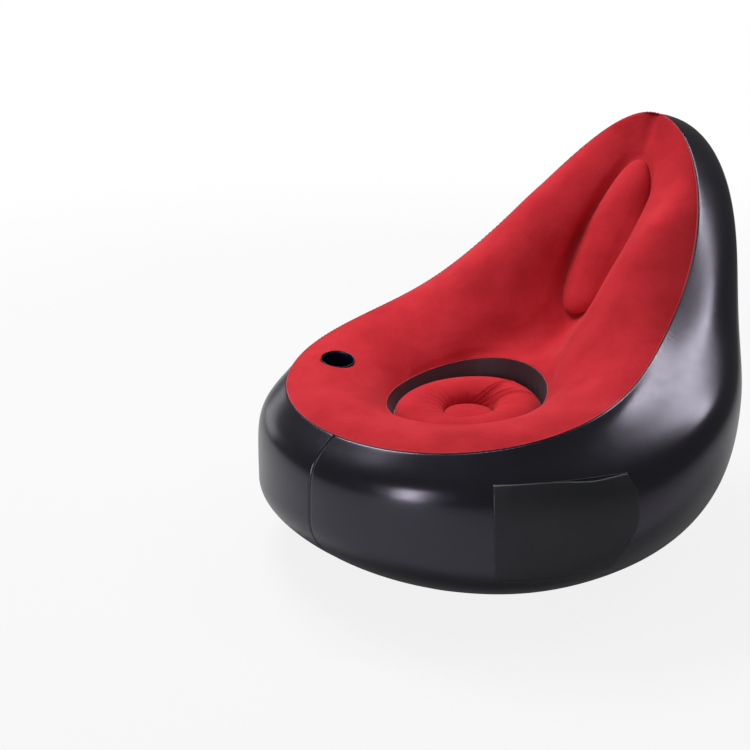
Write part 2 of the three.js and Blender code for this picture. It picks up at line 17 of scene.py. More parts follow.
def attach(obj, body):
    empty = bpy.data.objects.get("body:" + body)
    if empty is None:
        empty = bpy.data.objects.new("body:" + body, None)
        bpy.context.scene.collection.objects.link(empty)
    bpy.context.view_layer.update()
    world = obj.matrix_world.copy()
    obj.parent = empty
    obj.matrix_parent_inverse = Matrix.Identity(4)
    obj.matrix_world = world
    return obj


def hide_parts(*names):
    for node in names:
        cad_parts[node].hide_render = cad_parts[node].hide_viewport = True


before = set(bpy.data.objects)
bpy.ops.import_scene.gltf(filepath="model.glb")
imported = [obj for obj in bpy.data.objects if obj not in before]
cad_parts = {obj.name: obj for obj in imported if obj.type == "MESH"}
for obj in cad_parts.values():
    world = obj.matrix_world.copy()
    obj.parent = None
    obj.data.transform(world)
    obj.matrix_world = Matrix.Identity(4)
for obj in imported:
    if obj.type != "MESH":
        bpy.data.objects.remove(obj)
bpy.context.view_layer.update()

# %% [markdown]
# ## Driving sizes
# They are the sizes that the maker's drawing would carry: the outline of the rim, how tall it stands,
# how far the wall swells past it, and the round well. Lists of shares are the terms of a cosine
# series: share k times the cosine of k times the angle. A series keeps the outline smooth and the
# two sides alike, which a list of points would not.

# %% Sizes of the skins, in metres
WALL_GAUGE = 0.00045
FLOCK_GAUGE = 0.0008
RIM_MEAN_RADIUS = 0.402
RIM_OUTLINE_SHARES = [1, -0.022, 0.136, 0.06, 0.006, 0.003]
RIM_FRONT_HEIGHT = 0.329
RIM_TOP_HEIGHT = 0.830
RIM_DROP_RATE = 6.7
ARM_LIFT = 0.105
WALL_BULGE = 0.091
WALL_BULGE_SHARES = [1, 0.08, -0.53, -0.3]
BELLY_HEIGHT = 0.230
BELLY_HEIGHT_SHARES = [1, 0.34, -0.09, -0.21]
BASE_UNDERCUT = 0.181
REAR_HEEL_SHARE = 0.42
REAR_BULGE = 0.045
REAR_BELLY_RISE = 0.160
RIM_WALL_DEGREES = [40, -14.5, -16]
BASE_WALL_DEGREES = [35, 2.3]
BASE_ROLL_SHARE = 0.385
SHOULDER_REACH_SHARE = 0.45
SHOULDER_LIFT_SHARE = 0.74
WELL_FORWARD = 0.088
WELL_RADIUS = 0.163
WELL_FRONT_HEIGHT = 0.300
WELL_BACK_HEIGHT = 0.353
WELL_TAPER = 0.010
WELL_FOOT_BACK = 0.008
SEAT_HEIGHT = 0.278
SEAT_FRONT_CROWN = 0.020
SEAT_BACK_CROWN = 0.044
BUTTON_RADIUS = 0.051
BUTTON_CROWN = 0.005
CUSHION_LENGTH = 0.376
CUSHION_WIDTH = 0.142
CUSHION_CROWN = 0.040
CUSHION_FROM_RIM = 0.104

# %% [markdown]
# ## The curves that shape the chair
# A skin of an inflatable takes smooth curves everywhere, because air pushes evenly. Each section of
# the wall is two cubic curves that meet at the belly, and each section of the top is one, from the
# rim to the edge of the well. All of them work on whole arrays, so one call gives a whole surface.

# %% Curves
def series(shares, angle):
    """Sum over k of share k times the cosine of k times the angle."""
    return sum(share * np.cos(k * angle) for k, share in enumerate(shares))


def cubic(a, b, c, d, t):
    """Cubic Bezier curve from a to d with the handles b and c."""
    s = 1 - t
    return s**3 * a + 3 * s * s * t * b + 3 * s * t * t * c + t**3 * d


def rear(angle, power):
    """1 straight behind and 0 in front: half of one plus the cosine, to a power."""
    return ((1 + np.cos(angle)) / 2) ** power


def valley(angle, half_degrees):
    """1 in the middle of the back, 0 past the half width, with a flat middle."""
    turned = np.arctan2(np.sin(angle), np.cos(angle))
    return np.exp(-((turned / np.radians(half_degrees)) ** 4))


def polar(radius, angle, z, centre_y):
    """Point at a radius and an angle from straight back about the upright axis at centre_y."""
    x = radius * np.sin(angle)
    return np.stack(np.broadcast_arrays(x, centre_y + radius * np.cos(angle), z), axis=-1)


def rim_radius(angle):
    """Mean radius of the rim times its cosine series."""
    return RIM_MEAN_RADIUS * series(RIM_OUTLINE_SHARES, angle)


def rim_height(angle):
    """Tall only behind: it falls off as (1 - u) / (1 + rate u), with u the squared half-angle sine."""
    u = np.sin(angle / 2) ** 2
    drop = (1 - u) / (1 + RIM_DROP_RATE * u)
    return RIM_FRONT_HEIGHT + (RIM_TOP_HEIGHT - RIM_FRONT_HEIGHT) * drop + ARM_LIFT * u * (1 - u)


# %% Wall section
def wall_section(angle, s):
    """Radius and height of the wall: s is 0 at the base, 1 at the belly and 2 at the rim."""
    rim, top = rim_radius(angle), rim_height(angle)
    swell = rear(angle, 16)
    bulge = WALL_BULGE * series(WALL_BULGE_SHARES, angle)
    belly = rim + bulge + REAR_BULGE * swell
    middle = BELLY_HEIGHT * series(BELLY_HEIGHT_SHARES, angle) + REAR_BELLY_RISE * swell
    base = rim + bulge - BASE_UNDERCUT * (1 - REAR_HEEL_SHARE * rear(angle, 6))
    low_slope = np.radians(series(BASE_WALL_DEGREES, angle))
    roll = BASE_ROLL_SHARE * np.hypot(belly - base, middle)
    low = np.clip(s, 0, 1)
    r_low = cubic(base, base + roll * np.cos(low_slope), belly, belly, low)
    z_low = cubic(0, roll * np.sin(low_slope), middle / 2, middle, low)
    high_slope = np.radians(series(RIM_WALL_DEGREES, angle))
    reach = SHOULDER_REACH_SHARE * np.hypot(belly - rim, top - middle)
    high = np.clip(s - 1, 0, 1)
    r_high = cubic(belly, belly, rim + reach * np.cos(high_slope), rim, high)
    lift = middle + SHOULDER_LIFT_SHARE * (top - middle)
    z_high = cubic(middle, lift, top - reach * np.sin(high_slope), top, high)
    return np.where(s <= 1, r_low, r_high), np.where(s <= 1, z_low, z_high)


def wall_reach(angle):
    """Farthest reach of the wall at one angle, on the steps that the CAD source uses."""
    return float(wall_section(np.array(angle), np.linspace(1, 2, 10))[0].max())


AXIS_Y = (wall_reach(math.pi) - wall_reach(0.0)) / 2
WELL_Y = AXIS_Y - WELL_FORWARD
print("axis at y", round(AXIS_Y, 4), "well at y", round(WELL_Y, 4))


def wall_point(angle, s):
    """The section's radius and height, turned to the angle about the chair's upright axis."""
    r, z = wall_section(angle, s)
    return polar(r, angle, z, AXIS_Y)


# %% Top section
RIM_TOP_DEGREES, RIM_TOP_BACK_DEGREES = 20, -5
VALLEY_RIM_DEGREES, VALLEY_HALF_DEGREES = -70, 24
WELL_LIP_DEGREES, WELL_VALLEY_DEGREES, WELL_VALLEY_HALF_DEGREES = 50, 10, 42
RIM_HANDLE_SHARE, LIP_HANDLE_SHARE = 0.3, 0.35
BOLSTER_RISE, BOLSTER_INNER = 0.048, 0.1
BOLSTER_EDGE_POWER, BOLSTER_REAR_POWER = 4, 4


def well_edge(angle):
    """Circle round the well's axis that climbs from the front height to the back height."""
    rise = (WELL_BACK_HEIGHT - WELL_FRONT_HEIGHT) * rear(angle, 2)
    return polar(WELL_RADIUS, angle, WELL_FRONT_HEIGHT + rise, WELL_Y)


def top_point(angle, t):
    """Cubic curve from the rim (t 0) to the edge of the well (t 1), in the upright plane of both.

    Beside the valley of the back a bolster lifts it square to its chord, by the bolster's rise times
    a flank across the back, a fading towards the arms and half a sine wave down the sheet.
    """
    rim = polar(rim_radius(angle), angle, rim_height(angle), AXIS_Y)
    lip = well_edge(angle)
    flat = (lip - rim) * [1, 1, 0]
    inward = flat / np.linalg.norm(flat, axis=-1, keepdims=True)
    span = np.linalg.norm(lip - rim, axis=-1)
    turn_back = (RIM_TOP_BACK_DEGREES - RIM_TOP_DEGREES) * rear(angle, 1)
    dive = VALLEY_RIM_DEGREES * valley(angle, VALLEY_HALF_DEGREES)
    leave = np.radians(RIM_TOP_DEGREES + turn_back + dive)
    wide = valley(angle, WELL_VALLEY_HALF_DEGREES)
    arrive = np.radians(WELL_LIP_DEGREES + (WELL_VALLEY_DEGREES - WELL_LIP_DEGREES) * wide)
    up = np.array([0, 0, 1])
    out_reach = (RIM_HANDLE_SHARE * span)[..., None]
    in_reach = (LIP_HANDLE_SHARE * span)[..., None]
    a = rim + out_reach * (inward * np.cos(leave)[..., None] + up * np.sin(leave)[..., None])
    b = lip + in_reach * (up * np.sin(arrive)[..., None] - inward * np.cos(arrive)[..., None])
    sheet = cubic(rim, a, b, lip, np.asarray(t)[..., None])
    chord = (lip - rim) / span[..., None]
    square = up - chord * chord[..., 2:]
    square = square / np.linalg.norm(square, axis=-1, keepdims=True)
    beside = 1 - np.exp(-(np.abs(sheet[..., 0]) / BOLSTER_INNER) ** BOLSTER_EDGE_POWER)
    rise = BOLSTER_RISE * beside * rear(angle, BOLSTER_REAR_POWER) * np.sin(np.pi * np.asarray(t))
    return sheet + square * rise[..., None]


# %% [markdown]
# ## From a formula to a mesh
# A surface is sampled on a grid and its quads join neighbouring samples. Normals come from small
# steps along the two parameters, so a relief, such as a weld line, can be laid on any surface by
# moving its points along them. Where a skin has a round hole, a block of the grid gives way to rings
# that run from the block's border to the circle.

# %% Surfaces
STEP = 1e-4
NEWTON_STEPS = 14


def normals(surface, u, v):
    """Cross product of the second and the first parameter direction, made a unit vector.

    With angles clockwise from above and the second parameter up the wall or in along the top, it
    points out of the chair.
    """
    du = surface(u + STEP, v) - surface(u - STEP, v)
    dv = surface(u, v + STEP) - surface(u, v - STEP)
    n = np.cross(dv, du)
    return n / np.linalg.norm(n, axis=-1, keepdims=True)


def quads_of(index, wraps_u=False, wraps_v=False):
    """Quads between neighbours of a grid of vertex numbers."""
    if wraps_u:
        index = np.concatenate([index, index[:1]], axis=0)
    if wraps_v:
        index = np.concatenate([index, index[:, :1]], axis=1)
    a, b, c, d = index[:-1, :-1], index[1:, :-1], index[1:, 1:], index[:-1, 1:]
    return np.stack([a, b, c, d], axis=-1).reshape(-1, 4)


def bump(x, width):
    """1 at 0 and falling off as a bell of that half width."""
    return np.exp(-((x / width) ** 2))


def eased(x, start, end):
    """0 before the start, 1 past the end and a smooth step between them."""
    x = np.clip((x - start) / (end - start), 0, 1)
    return x * x * (3 - 2 * x)


def compact(points, faces):
    """Drops the points that no face uses."""
    used, renumbered = np.unique(faces, return_inverse=True)
    return points[used], renumbered.reshape(faces.shape)


def circle_on(surface, centre, axis, radius, headings):
    """Parameters at which a surface meets a round bar: Newton steps on the offset across the axis."""
    def offset(u, v):
        return (surface(u, v) - middle) @ across.T

    middle = surface(*centre)
    side = np.cross(axis, [0, 0, 1.0])
    side = side / np.linalg.norm(side)
    over = np.cross(axis, side)
    across = np.stack([side, over])
    goal = radius * np.stack([np.cos(headings), np.sin(headings)], -1)
    p = np.broadcast_to(centre, goal.shape).astype(float).copy()
    for _ in range(NEWTON_STEPS):
        u, v = p[:, 0], p[:, 1]
        miss = goal - offset(u, v)
        slope_u = (offset(u + STEP, v) - offset(u - STEP, v)) / (2 * STEP)
        slope_v = (offset(u, v + STEP) - offset(u, v - STEP)) / (2 * STEP)
        p += np.linalg.solve(np.stack([slope_u, slope_v], -1), miss[..., None])[..., 0]
    return p, across, middle


def pierced(surface, us, vs, centre, axis, radius, reach=1.8, rings=6, closed=False):
    """Grid mesh with a round hole: rings of points run from the border of a block to the circle.

    The block's border is joined to the circle by straight lines in the two parameters. A closed grid
    welds its last column of points to its first.
    """
    uu, vv = np.meshgrid(us, vs, indexing="ij")
    params = np.stack([uu, vv], -1)
    span_u = np.linalg.norm(surface(centre[0] + STEP, centre[1]) - surface(*centre)) / STEP
    span_v = np.linalg.norm(surface(centre[0], centre[1] + STEP) - surface(*centre)) / STEP
    half_u, half_v = reach * radius / span_u, reach * radius / span_v
    i0, i1 = np.searchsorted(us, [centre[0] - half_u, centre[0] + half_u])
    j0, j1 = np.searchsorted(vs, [centre[1] - half_v, centre[1] + half_v])
    index = np.arange(len(us) * len(vs)).reshape(len(us), len(vs))
    if closed:
        index[-1] = index[0]
    keep = np.ones((len(us) - 1, len(vs) - 1), bool)
    keep[i0:i1, j0:j1] = False
    faces = quads_of(index)[keep.ravel()]
    front, back = index[i0:i1, j0], index[i1:i0:-1, j1]
    border = np.concatenate([front, index[i1, j0:j1], back, index[i0, j1:j0:-1]])
    flat = params.reshape(-1, 2)
    _, across, middle = circle_on(surface, centre, axis, radius, np.zeros(1))
    offset = (surface(flat[border, 0], flat[border, 1]) - middle) @ across.T
    circle, _, _ = circle_on(surface, centre, axis, radius, np.arctan2(offset[:, 1], offset[:, 0]))
    shares = np.linspace(0, 1, rings + 1)[1:, None, None]
    rings_of_params = flat[border] + (circle - flat[border]) * shares
    ring_index = len(flat) + np.arange(rings * len(border)).reshape(rings, len(border))
    loops = np.concatenate([border[None], ring_index])
    faces = np.concatenate([faces, quads_of(loops.T, wraps_u=True)])
    every = np.concatenate([flat, rings_of_params.reshape(-1, 2)])
    return compact(every, faces)


# %% Pieces
def add_piece(name, points, faces, finish, stands_for=(), body="chair", gauge=0.0, inside=None):
    """Mesh object in place. Faces look away from the point inside; a gauge thickens it inwards."""
    faces = [np.asarray(f) for f in (faces if isinstance(faces, list) else [faces])]
    if inside is not None:
        q = points[faces[0]]
        across = np.cross(q[:, 2] - q[:, 0], q[:, 3] - q[:, 1])
        outward = (across * (q.mean(axis=1) - np.asarray(inside))).sum()
        if outward < 0:
            faces = [f[:, ::-1] for f in faces]
    mesh = bpy.data.meshes.new(name)
    mesh.from_pydata(points.tolist(), [], [face for f in faces for face in f.tolist()])
    mesh.polygons.foreach_set("use_smooth", np.ones(len(mesh.polygons), bool))
    mesh.validate()
    obj = bpy.data.objects.new(name, mesh)
    bpy.context.scene.collection.objects.link(obj)
    mesh.materials.append(finish)
    if gauge:
        skin = obj.modifiers.new("gauge", "SOLIDIFY")
        skin.thickness = gauge
        skin.offset = -1
    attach(obj, body)
    if stands_for:
        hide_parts(*stands_for)
    print(name, len(points), "points", len(mesh.polygons), "faces")
    return obj


# %% [markdown]
# ## Finishes
# Two vinyls make the chair. The wall is a plain black sheet with a satin face, a little softer here
# and there where rollers pressed it. The top is the same kind of sheet with short red fibres shot
# into glue: no gloss at all, a soft bloom at glancing angles, and patches that look lighter or
# darker where a hand has brushed the nap. Node materials on Object coordinates give both at true
# scale, with no picture to stretch.

# %% Node helper
def finish_named(name):
    """New material and short calls to add its nodes and links."""
    material = bpy.data.materials.new(name)
    material.use_nodes = True
    tree = material.node_tree
    shader = tree.nodes["Principled BSDF"]

    def node(kind, **values):
        made = tree.nodes.new(kind)
        for key, value in values.items():
            if key in made.inputs:
                made.inputs[key].default_value = value
            else:
                setattr(made, key, value)
        return made

    return material, shader, node, tree.links.new


def noise(node, link, place, scale, detail=3.0, roughness=0.55):
    """Noise over Object coordinates; scale is in waves per metre."""
    made = node("ShaderNodeTexNoise", Scale=scale, Detail=detail, Roughness=roughness)
    link(place.outputs["Object"], made.inputs["Vector"])
    return made


def ramp(node, link, source, stops):
    """Colour ramp with stops of (place, colour)."""
    made = node("ShaderNodeValToRGB")
    elements = made.color_ramp.elements
    while len(elements) < len(stops):
        elements.new(0.5)
    for element, (place, colour) in zip(elements, stops):
        element.position = place
        element.color = (*colour, 1)
    link(source, made.inputs["Fac"])
    return made


def raised(node, link, source, strength, distance, below=None):
    """Bump node; below is a bump that it stacks on."""
    made = node("ShaderNodeBump", Strength=strength, Distance=distance)
    link(source, made.inputs["Height"])
    if below is not None:
        link(below.outputs["Normal"], made.inputs["Normal"])
    return made


# %% Red flock
NAP_SCALE, FIBRE_SCALE, DENT_SCALE = 9.0, 900.0, 55.0


def flocked(name, dark, middle, light, sheen):
    """Flock: broad noise picks the colour of the brushed nap, and fine noise specks and roughens it."""
    material, shader, node, link = finish_named(name)
    place = node("ShaderNodeTexCoord")
    nap = noise(node, link, place, NAP_SCALE, 4.0, 0.6)
    brushed = ramp(node, link, nap.outputs["Fac"], [(0.3, dark), (0.52, middle), (0.74, light)])
    fibre = noise(node, link, place, FIBRE_SCALE, 2.0, 0.7)
    speck = node("ShaderNodeMix", data_type="RGBA", blend_type="MULTIPLY")
    speck.inputs["Factor"].default_value = 0.55
    grey = ramp(node, link, fibre.outputs["Fac"], [(0.25, (0.62, 0.6, 0.6)), (0.6, (1.0, 1.0, 1.0))])
    link(brushed.outputs["Color"], speck.inputs[6])
    link(grey.outputs["Color"], speck.inputs[7])
    link(speck.outputs[2], shader.inputs["Base Color"])
    soft = noise(node, link, place, DENT_SCALE, 3.0, 0.5)
    dents = raised(node, link, soft.outputs["Fac"], 0.25, 0.003)
    fuzz = raised(node, link, fibre.outputs["Fac"], 0.5, 0.0006, dents)
    link(fuzz.outputs["Normal"], shader.inputs["Normal"])
    shader.inputs["Roughness"].default_value = 0.95
    shader.inputs["Specular IOR Level"].default_value = 0.12
    shader.inputs["Sheen Weight"].default_value = sheen
    shader.inputs["Sheen Roughness"].default_value = 0.35
    shader.inputs["Sheen Tint"].default_value = (1.0, 0.5, 0.52, 1)
    return material


red_flock = flocked(
    "red flock", (0.42, 0.014, 0.022), (0.51, 0.020, 0.030), (0.58, 0.029, 0.042), 0.12
)


# %% Vinyl and plastic
DRIFT_SCALE, RUB_SCALE, ROLL_SCALE = 7.0, 38.0, 14.0


def vinyl(name, low, high, smooth, rough, gloss, grain):
    """Sheet vinyl: colour drifts a little, gloss drifts more, and a fine grain breaks highlights."""
    material, shader, node, link = finish_named(name)
    place = node("ShaderNodeTexCoord")
    drift = noise(node, link, place, DRIFT_SCALE, 3.0, 0.5)
    tone = ramp(node, link, drift.outputs["Fac"], [(0.35, low), (0.65, high)])
    link(tone.outputs["Color"], shader.inputs["Base Color"])
    rub = noise(node, link, place, RUB_SCALE, 4.0, 0.6)
    gloss_map = node("ShaderNodeMapRange")
    for socket, value in (("From Min", 0.3), ("From Max", 0.7), ("To Min", smooth), ("To Max", rough)):
        gloss_map.inputs[socket].default_value = value
    link(rub.outputs["Fac"], gloss_map.inputs["Value"])
    link(gloss_map.outputs["Result"], shader.inputs["Roughness"])
    waves = noise(node, link, place, ROLL_SCALE, 2.0, 0.5)
    rolls = raised(node, link, waves.outputs["Fac"], 0.012, 0.004)
    fine = noise(node, link, place, grain, 2.0, 0.6)
    skin = raised(node, link, fine.outputs["Fac"], 0.06, 0.0004, rolls)
    link(skin.outputs["Normal"], shader.inputs["Normal"])
    shader.inputs["Specular IOR Level"].default_value = gloss
    shader.inputs["Specular Tint"].default_value = (0.86, 0.8, 1.0, 1)
    return material


VINYLS = {
    "black vinyl": ((0.0034, 0.0034, 0.0055), (0.0054, 0.0054, 0.0085), 0.225, 0.26, 1.0, 700.0),
    "pocket vinyl": ((0.020, 0.0215, 0.0225), (0.025, 0.027, 0.028), 0.34, 0.44, 0.5, 500.0),
    "well lining": ((0.036, 0.040, 0.046), (0.044, 0.048, 0.056), 0.42, 0.52, 0.5, 500.0),
    "navy moulding": ((0.004, 0.006, 0.018), (0.007, 0.01, 0.03), 0.22, 0.34, 0.5, 400.0),
    "valve moulding": ((0.008, 0.008, 0.01), (0.014, 0.014, 0.017), 0.26, 0.38, 0.5, 500.0),
    "tie film": ((0.42, 0.43, 0.44), (0.5, 0.51, 0.52), 0.35, 0.5, 0.5, 300.0),
}
black_vinyl, pocket_vinyl, well_vinyl, navy_plastic, valve_plastic, tie_film = [
    vinyl(name, *look) for name, look in VINYLS.items()
]
# Paler red flock for the edge beads: a painted sheen along the edges of the sheet.
painted_sheen_flock = flocked(
    "painted edge sheen", (0.42, 0.045, 0.058), (0.5, 0.065, 0.08), (0.56, 0.1, 0.115), 0.15
)

# %% [markdown]
# ## The wall
# Each half of the wall is cut flat and welded to its twin at the front and at the back. Air rounds
# it, the two welds pull a shallow furrow, the base weld stands out as a thin bead low down, and the
# sheet crinkles just below the rim, where it is gathered to meet the top. The air also rounds each
# flank between rim and belly, by up to 9 mm more than the plain section. A relief along the normals
# adds all of this to the section; a modelled seam would need a piece for each.

# %% Wall relief
CRINKLES, CRINKLE_HEIGHT, CRINKLE_REACH = 262, 0.0005, 0.05
FURROW_WIDTH, SEAM_WIDTH, SEAM_DEPTH = 0.02, 0.0016, 0.0003
BASE_WELD_AT, BASE_WELD_WIDTH, BASE_WELD_HEIGHT = 0.1, 0.01, 0.0014
UNDERCUT_WIDTH, UNDERCUT_DEPTH = 0.012, 0.0005
WAVE_HEIGHT = 0.00012
SWELL_HELD_FROM = 1.2
SIDE_SWELLS = ((0.0115, 73, 1.79, 27, 0.2), (0.0035, 80, 1.5, 26, 0.22))


def crinkle(angle):
    """Uneven ripple round the rim: a fast wave in short groups."""
    fast = np.sin(CRINKLES * angle + 3.1 * np.sin(7 * angle) + 1.7 * np.sin(17 * angle))
    groups = np.clip(np.sin(11 * angle + 0.8) * np.sin(5 * angle + 2.0) + 0.35, 0, 1)
    return fast * groups


def slow_waves(a, b):
    """Broad, shallow dents of an air-filled sheet: three crossed waves."""
    return np.sin(5 * a + 2.2 * b + 0.6) * np.sin(2.6 * b + 1.1) + 0.6 * np.sin(9 * a - 3.1 * b + 2.4)


def side_swell(angle, s):
    """The air rounds each flank between rim and belly: bells of (height, degrees, s, half widths).

    What a bell would still be at the rim is taken off with a smooth step, so the rim stays in place.
    """
    side = np.abs(np.degrees(np.arctan2(np.sin(angle), np.cos(angle))))
    held = eased(s, SWELL_HELD_FROM, 2.0)
    swell = 0
    for height, degrees, at, wide, tall in SIDE_SWELLS:
        upright = bump(s - at, tall) - bump(2 - at, tall) * held
        swell = swell + height * bump(side - degrees, wide) * upright
    return swell


def wall_relief(angle, s):
    """Sum of bells at the seams, the base weld and the rim, crinkles that die away, and the swells."""
    off_seam = rim_radius(angle) * np.sin(angle)
    furrow = -SEAM_DEPTH * bump(off_seam, FURROW_WIDTH) - SEAM_DEPTH * bump(off_seam, SEAM_WIDTH)
    weld = BASE_WELD_HEIGHT * bump(s - BASE_WELD_AT, BASE_WELD_WIDTH)
    gathered = CRINKLE_HEIGHT * np.exp(-(2 - s) / CRINKLE_REACH) * crinkle(angle)
    undercut = -UNDERCUT_DEPTH * bump(2 - s, UNDERCUT_WIDTH)
    waves = WAVE_HEIGHT * slow_waves(angle, s) * np.sin(np.pi * np.clip(s / 2, 0, 1))
    return furrow + weld + gathered + undercut + waves + side_swell(angle, s)


def wall_skin_point(angle, s):
    """Plain wall moved along its normal by the relief."""
    return wall_point(angle, s) + normals(wall_point, angle, s) * wall_relief(angle, s)[..., None]


# %% Two halves of the wall
WALL_COLUMNS, WALL_ROWS = 260, 130
inside_chair = (0, AXIS_Y, 0.2)
SEAM_GAP, SEAM_FROM_AXIS = 0.00004, 0.384
gap_angle = SEAM_GAP / SEAM_FROM_AXIS
half_turn = np.linspace(gap_angle, np.pi - gap_angle, WALL_COLUMNS)
wall_rows = np.linspace(0, 2, WALL_ROWS)
VALVE_ANGLE, VALVE_HOLE_RADIUS = math.radians(-70), 0.0112
valve_axis = polar(1.0, np.array(VALVE_ANGLE), 0.0, 0.0)


def half_grid(side):
    """Parameters and faces of one half; the right one has the hole for the valve."""
    us = half_turn if side > 0 else -half_turn[::-1]
    if side > 0:
        uu, vv = np.meshgrid(us, wall_rows, indexing="ij")
        faces = quads_of(np.arange(uu.size).reshape(uu.shape))
        return np.stack([uu, vv], -1).reshape(-1, 2), faces
    return pierced(wall_skin_point, us, wall_rows, (VALVE_ANGLE, 1.0), valve_axis, VALVE_HOLE_RADIUS)


for side, hand in ((1, "left"), (-1, "right")):
    params, faces = half_grid(side)
    points = wall_skin_point(params[:, 0], params[:, 1])
    add_piece("wall_skin_" + hand, points, faces, black_vinyl, ["wall_" + hand],
              gauge=WALL_GAUGE, inside=inside_chair)

# %% [markdown]
# ## The top
# One flocked sheet closes the chair from the rim to the edge of the well. It is gathered where the
# two halves of the wall meet behind, so a crease runs from there to the oval cushion. The weld round
# that cushion holds the sheet down, the air lifts it in a shoulder beside it, and below it a trough
# runs down to the well. The cup is let into the right arm, so the sheet has a hole there.

# %% Running length down the middle of the back
run_shares = np.linspace(0, 1, 401)
run_points = top_point(np.zeros(401), run_shares)
run_lengths = np.concatenate([[0], np.cumsum(np.linalg.norm(np.diff(run_points, axis=0), axis=1))])


def share_down(distance):
    """Share of the way from rim to well at a distance down the middle of the back."""
    return np.interp(distance, run_lengths, run_shares)


# %% Top relief
def oval_reach(angle, t):
    """Distance from the middle of the oval cushion in units of its half sizes: 1 at its edge."""
    x = top_point(angle, t)[..., 0]
    along = np.interp(t, run_shares, run_lengths) - CUSHION_FROM_RIM - CUSHION_LENGTH / 2
    behind = np.cos(angle) > 0
    return np.where(behind, np.hypot(along / (CUSHION_LENGTH / 2), x / (CUSHION_WIDTH / 2)), 9.0)


CREASE_DEPTH, CREASE_WIDTH, CREASE_RUN = 0.0045, 0.013, 0.09
PUCKER_HEIGHT, PUCKER_REACH, PUCKER_PITCH, PUCKER_WIDTH = 0.0016, 0.02, 0.0022, 0.016
GATHER_HEIGHT, GATHER_REACH, GATHER_SHIFT = 0.0005, 0.03, 0.3
MOAT_DEPTH, MOAT_AT, MOAT_WIDTH = 0.001, 1.05, 0.05
SHOULDER_RISE, SHOULDER_FROM, SHOULDER_TO, SHOULDER_FADE = 0.018, 1.0, 1.3, 0.5
TROUGH_RUN, TROUGH_HALF, TROUGH_ENDS = 0.53, 0.1, (0.93, 1.0)
TROUGH_DEPTH, TROUGH_WIDTH = 0.012, 0.035
TROUGH_FLANK, FLANK_AT, FLANK_FADE = 0.014, 0.08, 0.07
TOP_WAVE_HEIGHT = 0.0007
CUP_FOLD_DEGREES, CUP_FOLD_FROM, CUP_FOLD_TO = (-135.0, -146.0), 0.5, 0.83
CUP_FOLD_HEIGHT, CUP_WRINKLE_HEIGHT = 0.0016, 0.0006


def cup_fold(angle, t):
    """Soft ridge from the cup towards the well, with short wrinkles across its lower end."""
    down = (t - CUP_FOLD_FROM) / (CUP_FOLD_TO - CUP_FOLD_FROM)
    start, end = CUP_FOLD_DEGREES
    middle = np.radians(start + (end - start) * down)
    window = bump(down - 0.5, 0.45)
    ridge = CUP_FOLD_HEIGHT * bump(angle - middle, math.radians(3.2))
    across = CUP_WRINKLE_HEIGHT * bump(angle - middle, math.radians(7))
    wrinkles = across * np.sin(26 * down + 30 * angle) * bump(down - 0.7, 0.3)
    return window * (ridge + wrinkles)


def top_relief(angle, t):
    """Sum of the crease and puckers behind, the moat and shoulder of the cushion, trough and waves."""
    x = rim_radius(angle) * np.sin(angle)
    rim_run = np.interp(t, run_shares, run_lengths)
    behind = np.cos(angle) > 0
    crease = np.where(behind, -CREASE_DEPTH * bump(x, CREASE_WIDTH) * bump(rim_run, CREASE_RUN), 0)
    puckers = PUCKER_HEIGHT * np.exp(-t / PUCKER_REACH) * np.sin(x / PUCKER_PITCH)
    puckers = puckers * bump(x, PUCKER_WIDTH) * behind
    gathered = GATHER_HEIGHT * np.exp(-t / GATHER_REACH) * crinkle(angle + GATHER_SHIFT)
    reach = oval_reach(angle, t)
    moat = -MOAT_DEPTH * bump(reach - MOAT_AT, MOAT_WIDTH)
    place = top_point(angle, t)
    sideways = (place[..., 0] / (CUSHION_WIDTH / 2) / reach) ** 2
    stands = eased(reach, SHOULDER_FROM, SHOULDER_TO)
    stands = stands * bump(np.maximum(reach - SHOULDER_TO, 0), SHOULDER_FADE)
    shoulder = SHOULDER_RISE * sideways * stands
    low_down = bump(rim_run - TROUGH_RUN, TROUGH_HALF) * (1 - eased(t, *TROUGH_ENDS)) * behind
    off = np.abs(place[..., 0])
    flank = TROUGH_FLANK * eased(off, 0.0, FLANK_AT) * bump(np.maximum(off - FLANK_AT, 0), FLANK_FADE)
    trough = low_down * (flank - TROUGH_DEPTH * bump(off, TROUGH_WIDTH))
    waves = TOP_WAVE_HEIGHT * slow_waves(angle, 4 * t) * np.sin(np.pi * t) * (1 - rear(angle, 2))
    return crease + puckers + gathered + moat + shoulder + trough + waves + cup_fold(angle, t)


def top_skin_point(angle, t):
    """Plain top moved along its normal by the relief."""
    return top_point(angle, t) + normals(top_point, angle, t) * top_relief(angle, t)[..., None]


# %% Top skin
TOP_COLUMNS, TOP_ROWS = 420, 120
COLUMN_CROWDING, TOP_EDGE_SHARE = 0.3, 0.0012
CUP_ANGLE, CUP_SHARE, CUP_RADIUS, CUP_CLEARANCE = math.radians(-127), 0.41, 0.035, 0.0003
cup_place = top_point(np.array(CUP_ANGLE), np.array(CUP_SHARE))
cup_axis = normals(top_point, np.array(CUP_ANGLE), np.array(CUP_SHARE))
print("cup at", np.round(cup_place, 4), "axis", np.round(cup_axis, 3))
crowded = np.linspace(-np.pi, np.pi, TOP_COLUMNS)
top_columns = crowded - COLUMN_CROWDING * np.sin(crowded)
top_rows = np.linspace(TOP_EDGE_SHARE, 1 - TOP_EDGE_SHARE, TOP_ROWS)
params, faces = pierced(
    top_skin_point, top_columns, top_rows, (CUP_ANGLE, CUP_SHARE), cup_axis, CUP_RADIUS + CUP_CLEARANCE,
    closed=True
)
points = top_skin_point(params[:, 0], params[:, 1])
add_piece("top_skin", points, faces, red_flock, ["top_left", "top_right"],
          gauge=FLOCK_GAUGE, inside=(0, AXIS_Y - 0.1, 0.05))
